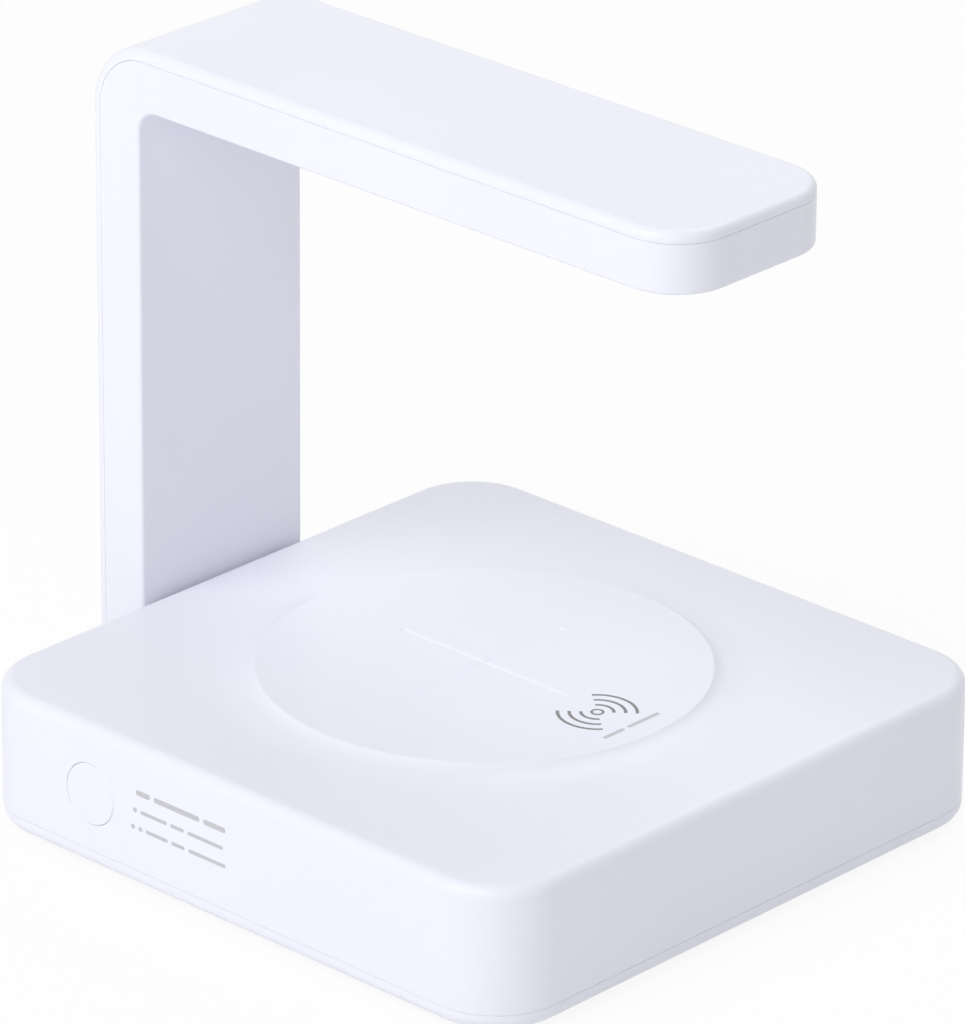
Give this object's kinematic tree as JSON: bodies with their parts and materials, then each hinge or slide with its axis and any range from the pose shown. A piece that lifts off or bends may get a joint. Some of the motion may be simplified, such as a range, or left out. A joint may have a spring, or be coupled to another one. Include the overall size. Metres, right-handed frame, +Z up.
{
  "type": "uv sterilizer charger",
  "caption": "Desk-top sterilizing lamp: a rounded square base with a raised charging pad and side button, and a bent lamp arm over the pad.",
  "frame": {"origin": "on the desk, at the bottom centre of the whole object's box", "axes": "+Z up, +Y towards the lamp column at the back, +X to the right; the button is on the -X side"},
  "size_m": [0.12, 0.1318, 0.1247],
  "materials": {
    "shell_white": "polished moulded ABS",
    "button_white": "polished moulded ABS",
    "foot_rubber": "matt silicone",
    "inlet_steel": "zinc plated",
    "board_green": "glass fibre board with solder mask",
    "black_plastic": "moulded",
    "coil_copper": "enamelled copper",
    "ferrite_grey": "sintered ferrite",
    "lead_white": "soft insulation",
    "led_ceramic": "ceramic package",
    "tray_white": "moulded",
    "window_clear": "clear pane",
    "film_brown": "dipped film"
  },
  "bodies": {
    "stand": {"base_housing": "shell_white", "bottom_cover": "shell_white", "rubber_feet": "foot_rubber", "tact_switch": "black_plastic", "switch_board": "board_green", "switch_lead": "lead_white", "main_board": "board_green", "control_chips": "black_plastic", "resonant_capacitors": "film_brown", "power_inductor": "ferrite_grey", "lead_headers": "tray_white", "usb_socket_shell": "inlet_steel", "usb_socket_tongue": "black_plastic", "charging_coil": "coil_copper", "ferrite_shield": "ferrite_grey", "coil_leads": "coil_copper", "lamp_arm_housing": "shell_white", "lamp_arm_cover": "shell_white", "led_board": "board_green", "uv_leds": "led_ceramic", "reflector_tray": "tray_white", "lamp_window": "window_clear", "lamp_lead": "lead_white"},
    "button": {"timer_button": "button_white"},
    "plunger": {"switch_plunger": "black_plastic"}
  },
  "joints": [
    {"name": "button_press", "type": "slide", "parent": "stand", "child": "button", "axis": [1, 0, 0], "range_m": [0, 0.0005], "stiffness_N_per_m": 1500},
    {"name": "plunger_press", "type": "slide", "parent": "stand", "child": "plunger", "axis": [1, 0, 0], "range_m": [0, 0.0005]}
  ],
  "couplings": [
    {"joint": "plunger_press", "follows": "button_press", "ratio": 1}
  ]
}
